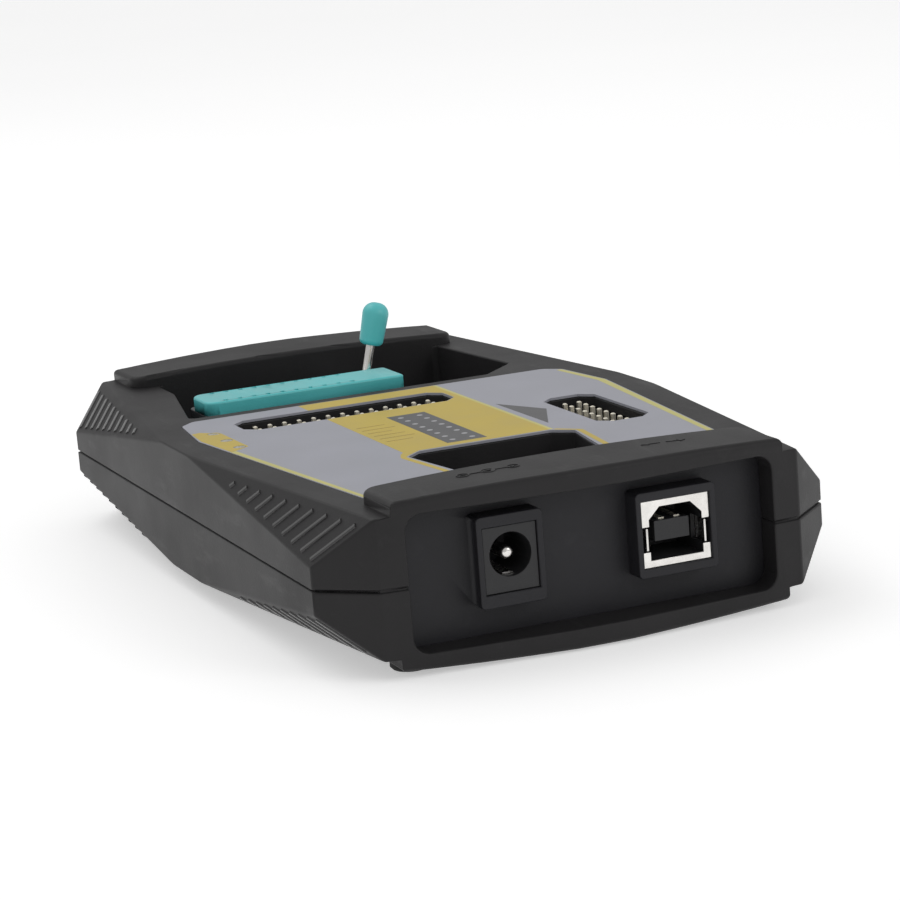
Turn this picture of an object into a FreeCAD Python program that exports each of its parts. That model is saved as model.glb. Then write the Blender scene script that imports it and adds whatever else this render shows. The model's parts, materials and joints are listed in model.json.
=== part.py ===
import FreeCAD, Part
import math
import os

# A bench programmer for microcontrollers: a faceted two-part plastic case with raised end bars,
# a lever chip socket and two pin headers on top, power and data sockets in one end and a cable
# port in the other. Millimetres. X runs across, Y runs from the socket end to the cable end,
# Z is up, and the origin is under the centre, on the surface that the feet stand on.

vec = FreeCAD.Vector
up = vec(0, 0, 1)
along = vec(0, 1, 0)
os.makedirs("parts", exist_ok=True)

# Case, outside
side_half_width = 40.6
end_half_width = 33.1
end_corner_y = 67.85
end_point_rise = 2.7
end_point_flat = 0.35
corner_cut_length = 6.8
facet_tip_y = 6.15
base_face_z = 3.0
belt_base_z = 9.5
split_z = 13.1
belt_top_z = 16.5
top_face_z = 23.5
wall = 2.0
bar_half_width = 30.7
bar_depth = 12.1
bar_rise = 1.9
bar_crown = 0.85
bar_corner_radius = 2.6
bar_edge_radius = 0.9

# Seam between the two shells
lip_height = 1.5
lip_reach = 50.0
seam_gap = 0.05
groove_depth = 0.35
groove_height = 0.4

# End panels, held in grooves behind the end openings
opening_half_width = 28.7
opening_base_z = 3.3
opening_top_z = 23.3
opening_radius = 2.4
panel_face_y = 63.95
panel_thickness = 2.0
panel_grip = 1.0
panel_gap = 0.1

# Case screws and their columns
case_screw_x = 31.5
case_screw_y = 46.0
column_radius = 3.2
case_head_radius = 2.75
case_head_height = 2.2
case_seat_z = 9.0
case_shaft_radius = 1.45
case_shaft_length = 10.5
case_well_gap = 0.25
case_hole_gap = 0.2
thread_gap = 0.03
screw_rim_share = 0.35
screw_slot_length_share = 1.1
screw_slot_width_share = 0.25
screw_slot_depth_share = 0.4

# Circuit board and its screws
board_top_z = 8.8
board_thickness = 1.6
board_half_width = 33.6
board_end_gap = 0.3
board_screw_x = 28.4
board_screw_near_y = -34.0
board_screw_far_y = 17.4
board_post_radius = 2.6
board_head_radius = 2.1
board_head_height = 1.5
board_shaft_radius = 1.1
board_shaft_length = 4.2
lead_hole_gap = 0.05
leg_slot_gap = 0.2
tail_slot_length = 1.0
lead_below_board = 1.4

# Rubber feet
foot_x = 27.2
foot_y = 62.0
foot_radius = 3.0
foot_height = 1.75
foot_edge_cut = 0.4

# Printed plate on the top face
plate_thickness = 0.4
plate_sink = 0.35
plate_gap = 0.1
plate_near_y = -55.3
plate_far_y = 18.7
plate_waist_y = 2.0
plate_near_half_width = 29.4
plate_side_margin = 4.7
plate_far_half_width = 34.3
plate_far_cut = 2.6
plate_corner_radius = 1.5

# Pocket in the top face, just behind the near bar
pocket_far_y = -30.0
pocket_near_y = -48.6
pocket_far_half_width = 11.0
pocket_wide_half_width = 13.9
pocket_wide_y = -32.7
pocket_near_half_width = 11.6
pocket_depth = 6.5
pocket_radius = 0.8
well_wall = 1.6

# Recess for the lever socket
recess_near_y = 21.8
recess_near_left_x = -31.2
recess_near_right_x = 22.5
recess_cut_x = 29.8
recess_cut_y = 28.8
recess_far_left_x = -26.2
recess_far_right_x = 27.0
recess_left_bend_y = 46.0
recess_depth = 7.5
recess_radius = 1.2

# Pin headers on the board, seen through windows in the top face
pitch = 2.54
pin_side = 0.64
pin_tip_below_face = 0.5
header_base_height = 2.5
header_collar_drop = 4.4
pin_gap = 0.02
pin_tip_cut = 0.15
header_corner_cut = 0.4
wide_header_x = -8.5
wide_header_y = 8.8
wide_header_columns = 13
short_header_x = 24.1
short_header_y = -18.6
short_header_columns = 8
window_side_margin = 2.05
window_end_margin = 1.9
window_cut = 2.1

# Lever chip socket
socket_left_x = -26.6
socket_right_x = 9.0
socket_centre_y = 30.7
socket_width = 14.4
socket_base_z = 12.0
socket_rim_z = 22.4
socket_cover_width = 9.6
socket_cover_top_z = 24.8
socket_rows = 10
socket_row_spacing = 7.62
socket_first_pin_x = -23.0
socket_slot_length = 1.1
socket_slot_width = 0.8
socket_left_radius = 2.2
socket_right_radius = 0.8
socket_cover_radius = 0.4
socket_hole_margin = 0.35
contact_width = 0.5
contact_thickness = 0.4
contact_top_z = 20.3
riser_width = 2.5

# Slider between the socket's base and its cover
slider_left_x = -24.6
slider_width = 8.9
slider_base_z = 20.8
slider_top_z = 22.1
slider_side_gap = 0.1
slider_floor_gap = 0.05
slider_end_gap = 1.0
slider_back_travel = 0.15
slider_forward_travel = 0.72
slider_slot_gap = 0.1
slider_cam_gap = 0.08

# Lever
lever_x = 4.9
lever_z = 19.8
lever_y = 36.55
lever_tilt = 14.5
lever_shaft_radius = 1.3
lever_hub_radius = 2.2
lever_rod_radius = 0.75
lever_cam_radius = 1.8
lever_cam_offset = 0.6
lever_cam_length = 5.6
lever_running_gap = 0.05
lever_side_gap = 0.3
lever_hub_room = 1.5
lever_shaft_near_y = 25.0
knob_start = 9.3
knob_length = 7.5
knob_low_radius = 2.05
knob_high_radius = 2.4
knob_low_round = 0.9
knob_high_round = 2.0
knob_grip_depth = 5.0

# Collars on the near panel
collar_rise = 3.5
collar_radius = 0.7
data_collar_width = 12.8
data_collar_height = 12.7
data_collar_x = 13.3
data_collar_z = 14.3
power_collar_width = 10.25
power_collar_height = 13.4
power_collar_x = -12.8
power_collar_z = 14.4

# Data socket
data_shell_width = 10.85
data_shell_height = 9.85
data_shell_length = 16.0
data_shell_wall = 0.35
data_shell_setback = 0.45
data_frame_thickness = 0.45
data_mouth_width = 8.45
data_mouth_height = 7.78
data_mouth_cut = 1.75
data_mouth_depth = 8.9
data_tongue_width = 5.6
data_tongue_height = 3.0
data_tongue_setback = 1.4
data_strip_width = 0.9
data_strip_thickness = 0.2
data_strip_offset = 1.25
data_leg_width = 1.8
data_foot_width = 4.5
data_tail_offset = 0.1
data_tail_spacing = 2.0
data_tail_gap = 0.2
data_strip_setback = 0.8
data_insert_setback = 0.2
data_insert_gap = 0.08
data_leaf_height = 3.3
data_leaf_drop = 0.75
data_leaf_length = 4.0
data_leaf_lean = 0.6
data_leaf_gap = 0.2
socket_fit_gap = 0.05

# Power socket
power_face_width = 8.3
power_face_top_z = 19.35
power_face_base_z = 9.7
power_setback = 0.4
power_length = 14.2
power_bore_radius = 3.2
power_bore_z = 15.1
power_bore_depth = 9.6
power_pin_radius = 1.0
power_pin_length = 8.7
power_spring_width = 1.6
power_spring_thickness = 0.3
power_leg_gap = 0.05
power_spring_setback = 1.6
power_spring_turn = 0.8
power_body_step = 0.2
power_tail_half_width = 0.8
power_tail_near = 0.1
power_tail_far = 0.5
power_tail_cap = 0.6
power_tip_share = 0.8

# Cable port on the far panel
port_z = 13.0
port_flange_width = 39.1
port_flange_height = 12.4
port_flange_thickness = 0.9
port_reach = 5.9
port_width = 24.8
port_height = 8.2
port_slant = 10.0
port_wall = 0.45
port_insert_setback = 0.4
port_body_half_width = 15.0
port_body_depth = 3.4
port_hole_pitch = 2.29
port_row_pitch = 1.98
port_row_counts = (9, 9, 8)
port_hole_radius = 0.55
port_sleeve_radius = 0.8
port_sleeve_depth = 5.0
port_lead_side = 0.45
port_post_inset = 2.9
port_post_flats = 4.8
port_post_length = 5.2
port_post_stud_radius = 1.35
port_post_bore_radius = 1.15
port_stud_reach = 2.0
port_corner_radius = 2.0
port_flange_radius = 1.2
port_lead_near = 0.7
port_lead_step = 0.95
port_bore_share = 0.8

# Parts soldered to the board
chip_x = -7.0
chip_y = -12.5
chip_side = 14.0
chip_height = 1.4
chip_lead_count = 16
chip_lead_pitch = 0.8
chip_lead_width = 0.35
chip_lead_reach = 1.0
lead_thickness = 0.2
chip_corner_cut = 0.3
logic_width = 3.9
logic_length = 9.9
logic_height = 1.5
logic_lead_count = 8
logic_lead_pitch = 1.27
logic_lead_width = 0.42
logic_lead_reach = 1.05
logic_corner_cut = 0.25
logic_places = ((-24.0, -20.0), (-24.0, -6.5), (7.5, -4.0))
can_capacitor_radius = 3.15
can_capacitor_height = 7.7
can_capacitor_places = ((-23.6, -52.0), (-23.6, -43.8), (21.0, -40.0))
can_base_height = 1.0
can_base_margin = 0.3
can_base_cut = 1.2
can_rim_radius = 0.5
crystal_x = 8.5
crystal_y = -16.5
crystal_length = 11.0
crystal_width = 4.5
crystal_height = 3.5
crystal_flange = 0.5
crystal_rim = 0.8
coil_x = -15.5
coil_y = -44.0
coil_side = 7.2
coil_height = 4.0
coil_core_radius = 2.3
coil_corner_cut = 1.0
coil_rim = 0.5
coil_ring_depth = 0.4
regulator_x = -16.5
regulator_y = -33.0
regulator_width = 6.5
regulator_length = 6.1
regulator_height = 2.3
regulator_tab_reach = 2.4
regulator_tab_share = 0.8
regulator_tab_thickness = 0.5
regulator_leg_pitch = 2.28
regulator_leg_width = 0.8
regulator_leg_reach = 2.0
chip_part_length = 2.0
chip_part_width = 1.25
chip_part_height = 0.9
chip_part_places = ((-19, -12), (-19, -9), (5, -24), (10, -24), (-2, -24), (-12, -24), (1, 2), (-14, 2))
chip_part_cap = 0.4

# Status lights and the clear rods that carry their light to the plate
light_inset = 3.9
light_places_y = (6.3, -0.3, -6.7)
light_length = 1.6
light_width = 0.8
light_height = 0.7
rod_radius = 0.95
rod_flange_radius = 1.7
rod_flange_height = 1.0
rod_gap_above_light = 0.4
rod_hole_gap = 0.05

board_base_z = board_top_z - board_thickness
floor_z = base_face_z + wall
roof_z = top_face_z - wall
panel_back_y = panel_face_y - panel_thickness
cavity_half_length = panel_back_y - panel_gap
bar_inner_y = end_corner_y - bar_depth
pocket_floor_z = top_face_z - pocket_depth
recess_floor_z = top_face_z - recess_depth
pin_tip_z = top_face_z - pin_tip_below_face
lead_end_z = board_base_z - lead_below_board
port_post_x = port_flange_width / 2 - port_post_inset
plate_waist_half_width = side_half_width - plate_side_margin
light_x = light_inset - plate_waist_half_width
board_half_length = panel_back_y - port_flange_thickness - board_end_gap
plate_top_z = top_face_z - plate_sink + plate_thickness
collar_front_y = -panel_face_y - collar_rise


def box(x0, x1, y0, y1, z0, z1):
    return Part.makeBox(x1 - x0, y1 - y0, z1 - z0, vec(x0, y0, z0))


def block(x, y, z0, width, length, height):
    return box(x - width / 2, x + width / 2, y - length / 2, y + length / 2, z0, z0 + height)


def rod(radius, start, direction, length):
    return Part.makeCylinder(radius, length, start, direction)


def plan_face(points):
    corners = [vec(x, y, 0) for x, y in points]
    return Part.Face(Part.makePolygon(corners + corners[:1]))


def edges_along(shape, direction):
    found = []
    for edge in shape.Edges:
        if edge.Curve.TypeId == "Part::GeomLine":
            if abs(abs(edge.Curve.Direction.dot(direction)) - 1) < 1e-6:
                found.append(edge)
    return found


def raise_face(face, z0, z1, radius=0):
    solid = face.extrude(up * (z1 - z0))
    solid.translate(up * z0)
    if radius > 0:
        solid = solid.makeFillet(radius, edges_along(solid, up))
    return solid


def grown(face, distance):
    return face.makeOffset2D(distance, 2)


def mirrored_points(points):
    return points + [(-x, y) for x, y in reversed(points)]


def outside_of(a, b, c, inset):
    # The half of space beyond the plane through three points, as one large block.
    size = 8 * end_corner_y
    normal = (b - a).cross(c - a).normalize()
    middle = vec(0, 0, (base_face_z + top_face_z) / 2)
    if normal.dot(middle - a) > 0:
        normal = normal * -1
    beyond = Part.makeBox(size, size, size, vec(-size / 2, -size / 2, 0))
    beyond.Placement = FreeCAD.Placement(a - normal * inset, FreeCAD.Rotation(up, normal))
    return beyond


def case_block(inset):
    # The faceted outline of the case, with every face moved inwards by the inset.
    tip_y = end_corner_y + end_point_rise
    flat_y = tip_y - end_point_flat - inset
    block_half = side_half_width - inset
    solid = box(-block_half, block_half, -flat_y, flat_y, base_face_z + inset, top_face_z - inset)
    cutters = []
    for side in (-1, 1):
        for end in (-1, 1):
            corner = vec(side * end_half_width, end * end_corner_y, base_face_z)
            point = vec(0, end * tip_y, base_face_z)
            cut_end = vec(side * side_half_width, end * (end_corner_y - corner_cut_length), 0)
            cutters.append(outside_of(point, corner, corner + up, inset))
            cutters.append(outside_of(corner, cut_end, cut_end + up, inset))
            for face_z, belt_z in ((top_face_z, belt_top_z), (base_face_z, belt_base_z)):
                high = vec(corner.x, corner.y, face_z)
                low = vec(cut_end.x, cut_end.y, belt_z)
                tip = vec(cut_end.x, end * facet_tip_y, face_z)
                cutters.append(outside_of(high, low, tip, inset))
    return solid.cut(cutters)


def end_bar(end, level):
    # A raised bar across one end, on the top face or on the underside, crowned along its length.
    tip_y = end_corner_y + end_point_rise
    slope = end_point_rise / end_half_width
    outer_y = end_corner_y + slope * (end_half_width - bar_half_width)
    flat_x = end_point_flat / slope
    flat_y = tip_y - end_point_flat
    half = [(bar_half_width, bar_inner_y), (bar_half_width, outer_y), (flat_x, flat_y)]
    outline = [(x, y * end) for x, y in mirrored_points(half)]
    face_z = top_face_z if level > 0 else base_face_z
    inner_z = face_z - level * wall / 2
    edge_z = face_z + level * bar_rise
    crown_z = edge_z + level * bar_crown
    bar = raise_face(plan_face(outline), min(inner_z, crown_z), max(inner_z, crown_z))
    round_edges = []
    for edge in edges_along(bar, up):
        if abs(edge.CenterOfMass.y) < end_corner_y - bar_depth / 2:
            round_edges.append(edge)
    bar = bar.makeFillet(bar_corner_radius, round_edges)
    arc = Part.Arc(vec(-bar_half_width, 0, edge_z), vec(0, 0, crown_z), vec(bar_half_width, 0, edge_z))
    side_a = Part.makeLine(vec(bar_half_width, 0, edge_z), vec(bar_half_width, 0, inner_z))
    floor = Part.makeLine(vec(bar_half_width, 0, inner_z), vec(-bar_half_width, 0, inner_z))
    side_b = Part.makeLine(vec(-bar_half_width, 0, inner_z), vec(-bar_half_width, 0, edge_z))
    profile = Part.Face(Part.Wire([arc.toShape(), side_a, floor, side_b]))
    profile.translate(along * -2 * end_corner_y)
    bar = bar.common(profile.extrude(along * 4 * end_corner_y))
    crown_edges = []
    for edge in bar.Edges:
        if level * (edge.CenterOfMass.z - face_z) > bar_rise * 0.75:
            crown_edges.append(edge)
    return bar.makeFillet(bar_edge_radius, crown_edges)


def end_opening(end):
    outer = box(-opening_half_width, opening_half_width, cavity_half_length - 1,
                end_corner_y + 2 * end_point_rise, opening_base_z, opening_top_z)
    outer = outer.makeFillet(opening_radius, edges_along(outer, along))
    reach = opening_half_width + panel_grip + panel_gap
    groove = box(-reach, reach, cavity_half_length, panel_face_y,
                 opening_base_z - panel_grip - panel_gap, opening_top_z + panel_grip + panel_gap)
    both = outer.fuse(groove)
    return both if end > 0 else both.mirror(vec(0, 0, 0), along)


def hollow_case():
    solid = case_block(0)
    bars = [end_bar(end, level) for end in (-1, 1) for level in (-1, 1)]
    solid = solid.fuse(bars)
    cavity = case_block(wall)
    reach = box(-side_half_width, side_half_width, -cavity_half_length, cavity_half_length,
                base_face_z, top_face_z)
    cavity = cavity.common(reach)
    return solid.cut([cavity, end_opening(-1), end_opening(1)])


def seam_ring(outer_inset, height):
    ring = case_block(outer_inset).cut(case_block(wall))
    reach = box(-side_half_width, side_half_width, -lip_reach, lip_reach, split_z, split_z + height)
    return ring.common(reach)


def seam_groove():
    # A narrow groove round the outside where the two shells meet.
    ring = case_block(0).cut(case_block(groove_depth))
    reach = box(-side_half_width, side_half_width, -2 * end_corner_y, 2 * end_corner_y,
                split_z - groove_height / 2, split_z + groove_height / 2)
    return ring.common(reach)


def column_places():
    return [(sx * case_screw_x, sy * case_screw_y) for sx in (-1, 1) for sy in (-1, 1)]


def board_screw_places():
    return [(sx * board_screw_x, y) for sx in (-1, 1) for y in (board_screw_near_y, board_screw_far_y)]


def foot_places():
    return [(sx * foot_x, sy * foot_y) for sx in (-1, 1) for sy in (-1, 1)]


def wide_header_size():
    return wide_header_columns * pitch, 2 * pitch


def short_header_size():
    return 2 * pitch, short_header_columns * pitch


def window_face(x, y, width, length):
    hx = width / 2 + (window_end_margin if width > length else window_side_margin)
    hy = length / 2 + (window_side_margin if width > length else window_end_margin)
    half = [(hx - window_cut, -hy), (hx, window_cut - hy), (hx, hy - window_cut), (hx - window_cut, hy)]
    face = plan_face(mirrored_points(half))
    face.translate(vec(x, y, 0))
    return face


def window_faces():
    wide = window_face(wide_header_x, wide_header_y, *wide_header_size())
    short = window_face(short_header_x, short_header_y, *short_header_size())
    return [wide, short]


def plate_face():
    half = [
        (plate_near_half_width, plate_near_y),
        (plate_waist_half_width, plate_waist_y),
        (plate_far_half_width, plate_far_y - plate_far_cut),
        (plate_far_half_width - plate_far_cut, plate_far_y),
    ]
    return plan_face(mirrored_points(half))


def pocket_face():
    half = [
        (pocket_near_half_width, pocket_near_y),
        (pocket_wide_half_width, pocket_wide_y),
        (pocket_far_half_width, pocket_far_y),
    ]
    return plan_face(mirrored_points(half))


def recess_face():
    return plan_face([
        (recess_near_left_x, recess_near_y),
        (recess_near_right_x, recess_near_y),
        (recess_cut_x, recess_cut_y),
        (recess_far_right_x, bar_inner_y),
        (recess_far_left_x, bar_inner_y),
        (recess_far_left_x, recess_left_bend_y),
    ])


def socket_floor_hole():
    margin = socket_hole_margin
    return box(socket_left_x - margin, socket_right_x + margin, recess_near_y,
               socket_centre_y + socket_width / 2 + margin,
               recess_floor_z - 2 * well_wall, recess_floor_z + well_wall)


def upper_shell(hollow):
    shell = hollow.common(box(-side_half_width, side_half_width, -2 * end_corner_y, 2 * end_corner_y,
                              split_z, 2 * top_face_z))
    column_height = roof_z + wall / 2 - split_z
    columns = [rod(column_radius, vec(x, y, split_z), up, column_height) for x, y in column_places()]
    wells = [
        raise_face(grown(pocket_face(), well_wall), pocket_floor_z - well_wall, roof_z + wall / 2),
        raise_face(grown(recess_face(), well_wall), recess_floor_z - well_wall, roof_z + wall / 2),
    ]
    shell = shell.fuse(columns + wells)
    cuts = [
        seam_ring(wall / 2 - seam_gap, lip_height + 2 * seam_gap),
        raise_face(pocket_face(), pocket_floor_z, 2 * top_face_z, pocket_radius),
        raise_face(recess_face(), recess_floor_z, 2 * top_face_z, recess_radius),
        raise_face(grown(plate_face(), plate_gap), top_face_z - plate_sink, top_face_z + wall / 4,
                   plate_corner_radius),
        socket_floor_hole(),
        seam_groove(),
    ]
    for face in window_faces():
        cuts.append(raise_face(face, roof_z - wall, top_face_z + wall))
    for x, y in column_places():
        hole_depth = case_seat_z + case_shaft_length + 1 - split_z
        cuts.append(rod(case_shaft_radius + thread_gap, vec(x, y, split_z), up, hole_depth))
    for y in light_places_y:
        cuts.append(rod(rod_radius + rod_hole_gap, vec(light_x, y, roof_z - wall), up, 3 * wall))
    return shell.cut(cuts)


def lower_shell(hollow):
    shell = hollow.common(box(-side_half_width, side_half_width, -2 * end_corner_y, 2 * end_corner_y,
                              -top_face_z, split_z))
    columns = []
    for x, y in column_places():
        columns.append(rod(column_radius, vec(x, y, base_face_z), up, split_z - base_face_z))
    for x, y in board_screw_places():
        post_base = floor_z - wall / 2
        columns.append(rod(board_post_radius, vec(x, y, post_base), up, board_base_z - post_base))
    lip = seam_ring(wall / 2 + seam_gap, lip_height)
    shell = shell.fuse(columns + [lip])
    cuts = [seam_groove()]
    for x, y in column_places():
        cuts.append(rod(case_head_radius + case_well_gap, vec(x, y, 0), up, case_seat_z))
        cuts.append(rod(case_shaft_radius + case_hole_gap, vec(x, y, 0), up, 2 * split_z))
    for x, y in board_screw_places():
        hole_base = board_top_z - board_shaft_length - thread_gap
        cuts.append(rod(board_shaft_radius + thread_gap, vec(x, y, hole_base), up, split_z))
    for x, y in foot_places():
        cuts.append(rod(foot_radius + seam_gap, vec(x, y, -1), up, foot_height + 1))
    return shell.cut(cuts)


def plate():
    solid = raise_face(plate_face(), top_face_z - plate_sink, plate_top_z, plate_corner_radius)
    cuts = [raise_face(pocket_face(), roof_z, 2 * top_face_z, pocket_radius)]
    for face in window_faces():
        cuts.append(raise_face(face, roof_z, top_face_z + wall))
    for y in light_places_y:
        cuts.append(rod(rod_radius + rod_hole_gap, vec(light_x, y, roof_z), up, 3 * wall))
    return solid.cut(cuts)


def feet():
    pads = []
    for x, y in foot_places():
        pad = rod(foot_radius, vec(x, y, 0), up, foot_height)
        rim = [edge for edge in pad.Edges if edge.CenterOfMass.z < 0.01]
        pads.append(pad.makeChamfer(foot_edge_cut, rim))
    return Part.makeCompound(pads)


def pan_screw(x, y, seat_z, head_radius, head_height, shaft_radius, shaft_length, drive):
    # The head lies on the side of the seat that drive points to, the shaft on the other side.
    head = rod(head_radius, vec(x, y, seat_z), drive, head_height)
    far_z = seat_z + drive.z * head_height
    rim = [edge for edge in head.Edges if abs(edge.CenterOfMass.z - far_z) < 0.01]
    head = head.makeFillet(head_height * screw_rim_share, rim)
    slot_length = head_radius * screw_slot_length_share
    slot_width = head_radius * screw_slot_width_share
    slot_depth = head_height * screw_slot_depth_share
    cross = block(x, y, 0, slot_length, slot_width, slot_depth)
    cross = cross.fuse(block(x, y, 0, slot_width, slot_length, slot_depth))
    cross.translate(up * (far_z - (slot_depth if drive.z > 0 else 0)))
    shaft = rod(shaft_radius, vec(x, y, seat_z), drive * -1, shaft_length)
    return head.cut(cross).fuse(shaft).removeSplitter()


def case_screws():
    return Part.makeCompound([
        pan_screw(x, y, case_seat_z, case_head_radius, case_head_height, case_shaft_radius,
                  case_shaft_length, up * -1)
        for x, y in column_places()
    ])


def board_screws():
    return Part.makeCompound([
        pan_screw(x, y, board_top_z, board_head_radius, board_head_height, board_shaft_radius,
                  board_shaft_length, up)
        for x, y in board_screw_places()
    ])


def panel_plate(end):
    reach = opening_half_width + panel_grip
    y0 = panel_back_y if end > 0 else -panel_face_y
    return box(-reach, reach, y0, y0 + panel_thickness, opening_base_z - panel_grip,
               opening_top_z + panel_grip)


def collar(x, z, width, height):
    solid = box(x - width / 2, x + width / 2, collar_front_y, -panel_face_y, z - height / 2, z + height / 2)
    return solid.makeFillet(collar_radius, edges_along(solid, along))


def near_panel():
    solid = panel_plate(-1)
    solid = solid.fuse([
        collar(data_collar_x, data_collar_z, data_collar_width, data_collar_height),
        collar(power_collar_x, power_collar_z, power_collar_width, power_collar_height),
    ])
    gap = socket_fit_gap
    data_hx = data_shell_width / 2 + gap
    data_hz = data_shell_height / 2 + gap
    power_hx = power_face_width / 2 + gap
    cuts = [
        box(data_collar_x - data_hx, data_collar_x + data_hx, collar_front_y - 1, -panel_back_y + 1,
            data_collar_z - data_hz, data_collar_z + data_hz),
        box(power_collar_x - power_hx, power_collar_x + power_hx, collar_front_y - 1, -panel_back_y + 1,
            power_face_base_z - gap, power_face_top_z + gap),
    ]
    return solid.cut(cuts)


def port_outline(half_width, half_height, y0, y1):
    # A D outline that narrows downwards, drawn about the port's centre.
    lean = half_height * math.tan(math.radians(port_slant))
    corners = [
        vec(-half_width, 0, half_height),
        vec(half_width, 0, half_height),
        vec(half_width - 2 * lean, 0, -half_height),
        vec(2 * lean - half_width, 0, -half_height),
    ]
    solid = Part.Face(Part.makePolygon(corners + corners[:1])).extrude(along * (y1 - y0))
    solid.translate(vec(0, y0, port_z))
    upright = [edge for edge in solid.Edges if abs(edge.CenterOfMass.y - (y0 + y1) / 2) < 0.01]
    return solid.makeFillet(min(port_corner_radius, half_height / 3), upright)


def far_panel():
    solid = panel_plate(1)
    cuts = [port_outline(port_width / 2 + socket_fit_gap, port_height / 2 + socket_fit_gap,
                         panel_back_y - 1, panel_face_y + 1)]
    for side in (-1, 1):
        start = vec(side * port_post_x, panel_back_y - 1, port_z)
        cuts.append(rod(port_post_stud_radius + case_hole_gap, start, along, panel_thickness + 2))
    return solid.cut(cuts)


def port_shell():
    flange = box(-port_flange_width / 2, port_flange_width / 2, panel_back_y - port_flange_thickness,
                 panel_back_y, port_z - port_flange_height / 2, port_z + port_flange_height / 2)
    flange = flange.makeFillet(port_flange_radius, edges_along(flange, along))
    nose = port_outline(port_width / 2, port_height / 2, panel_back_y - port_flange_thickness,
                        panel_back_y + port_reach)
    hole = port_outline(port_width / 2 - port_wall, port_height / 2 - port_wall,
                        panel_back_y - port_flange_thickness - 1, panel_back_y + port_reach + 1)
    cuts = [hole]
    for side in (-1, 1):
        start = vec(side * port_post_x, panel_back_y - 3, port_z)
        cuts.append(rod(port_post_stud_radius + thread_gap, start, along, 6))
    return flange.fuse(nose).cut(cuts)


def port_hole_places():
    # X, Z and the row's number, with each row moved half a step from the one above it.
    places = []
    for row, count in enumerate(port_row_counts):
        z = port_z + (1 - row) * port_row_pitch
        shift = port_hole_pitch / 4 * (1 if row == 1 else -1)
        if count % 2 == 0:
            shift = port_hole_pitch / 4
        for index in range(count):
            places.append(((index - (count - 1) / 2) * port_hole_pitch + shift, z, row))
    return places


def port_lead_y(row):
    return panel_back_y - port_flange_thickness - port_lead_near - (2 - row) * port_lead_step


def port_lead(x, z, row, gap):
    # A sleeve in the face of the port with a square tail that turns down into the board.
    half = port_lead_side / 2 + gap
    front = panel_back_y + port_reach - port_insert_setback
    back = front - port_sleeve_depth
    turn_y = port_lead_y(row)
    sleeve = rod(port_sleeve_radius + gap, vec(x, back, z), along, port_sleeve_depth + gap)
    tail = box(x - half, x + half, turn_y - half, back, z - half, z + half)
    drop = box(x - half, x + half, turn_y - half, turn_y + half, lead_end_z, z)
    return sleeve.fuse([tail, drop])


def port_sleeves():
    solids = []
    front = panel_back_y + port_reach - port_insert_setback
    for x, z, row in port_hole_places():
        lead = port_lead(x, z, row, 0)
        bore = rod(port_hole_radius, vec(x, front, z), along * -1, port_sleeve_depth * port_bore_share)
        solids.append(lead.cut(bore))
    return Part.makeCompound(solids)


def port_insert():
    gap = thread_gap
    front = panel_back_y + port_reach - port_insert_setback
    flange_back = panel_back_y - port_flange_thickness
    nose = port_outline(port_width / 2 - port_wall - gap, port_height / 2 - port_wall - gap,
                        flange_back, front)
    body = box(-port_body_half_width, port_body_half_width, flange_back - port_body_depth, flange_back,
               board_top_z, port_z + port_height / 2)
    solid = nose.fuse(body)
    leads = [port_lead(x, z, row, gap) for x, z, row in port_hole_places()]
    return solid.cut(leads)


def port_posts():
    posts = []
    radius = port_post_flats / math.sqrt(3)
    for side in (-1, 1):
        centre = vec(side * port_post_x, 0, port_z)
        corners = []
        for index in range(7):
            turn = math.radians(60 * index)
            corners.append(centre + vec(radius * math.cos(turn), panel_face_y, radius * math.sin(turn)))
        head = Part.Face(Part.makePolygon(corners)).extrude(along * port_post_length)
        stud_start = centre + along * (panel_back_y - port_stud_reach)
        stud = rod(port_post_stud_radius, stud_start, along, panel_face_y - stud_start.y + 1)
        bore = rod(port_post_bore_radius, centre + along * panel_face_y, along, 2 * port_post_length)
        posts.append(head.fuse(stud).cut(bore))
    return Part.makeCompound(posts)


def header_pin_places(x, y, columns_x, columns_y):
    places = []
    for ix in range(columns_x):
        for iy in range(columns_y):
            places.append((x + (ix - (columns_x - 1) / 2) * pitch, y + (iy - (columns_y - 1) / 2) * pitch))
    return places


def wide_pin_places():
    return header_pin_places(wide_header_x, wide_header_y, wide_header_columns, 2)


def short_pin_places():
    return header_pin_places(short_header_x, short_header_y, 2, short_header_columns)


def header_pins(places):
    pins = []
    for x, y in places:
        pin = block(x, y, lead_end_z, pin_side, pin_side, pin_tip_z - lead_end_z)
        tip = [edge for edge in pin.Edges if abs(edge.CenterOfMass.z - pin_tip_z) < 0.01]
        pins.append(pin.makeChamfer(pin_tip_cut, tip))
    return Part.makeCompound(pins)


def header_bases(x, y, size, places):
    width, length = size
    collar_z = pin_tip_z - header_collar_drop - header_base_height
    holes = []
    for px, py in places:
        side = pin_side + 2 * pin_gap
        holes.append(block(px, py, 0, side, side, 2 * top_face_z))
    bases = []
    for z in (board_top_z, collar_z):
        base = block(x, y, z, width, length, header_base_height)
        base = base.makeChamfer(header_corner_cut, edges_along(base, up))
        bases.append(base.cut(holes))
    return Part.makeCompound(bases)


def socket_pin_places():
    places = []
    for index in range(socket_rows):
        for side in (-1, 1):
            x = socket_first_pin_x + index * pitch
            places.append((x, socket_centre_y + side * socket_row_spacing / 2))
    return places


def socket_contacts():
    solids = []
    for x, y in socket_pin_places():
        solids.append(block(x, y, lead_end_z, contact_width, contact_thickness, contact_top_z - lead_end_z))
    return Part.makeCompound(solids)


def contact_slots():
    gap = 2 * pin_gap
    return [
        block(x, y, 0, contact_width + gap, contact_thickness + gap, 2 * top_face_z)
        for x, y in socket_pin_places()
    ]


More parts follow.
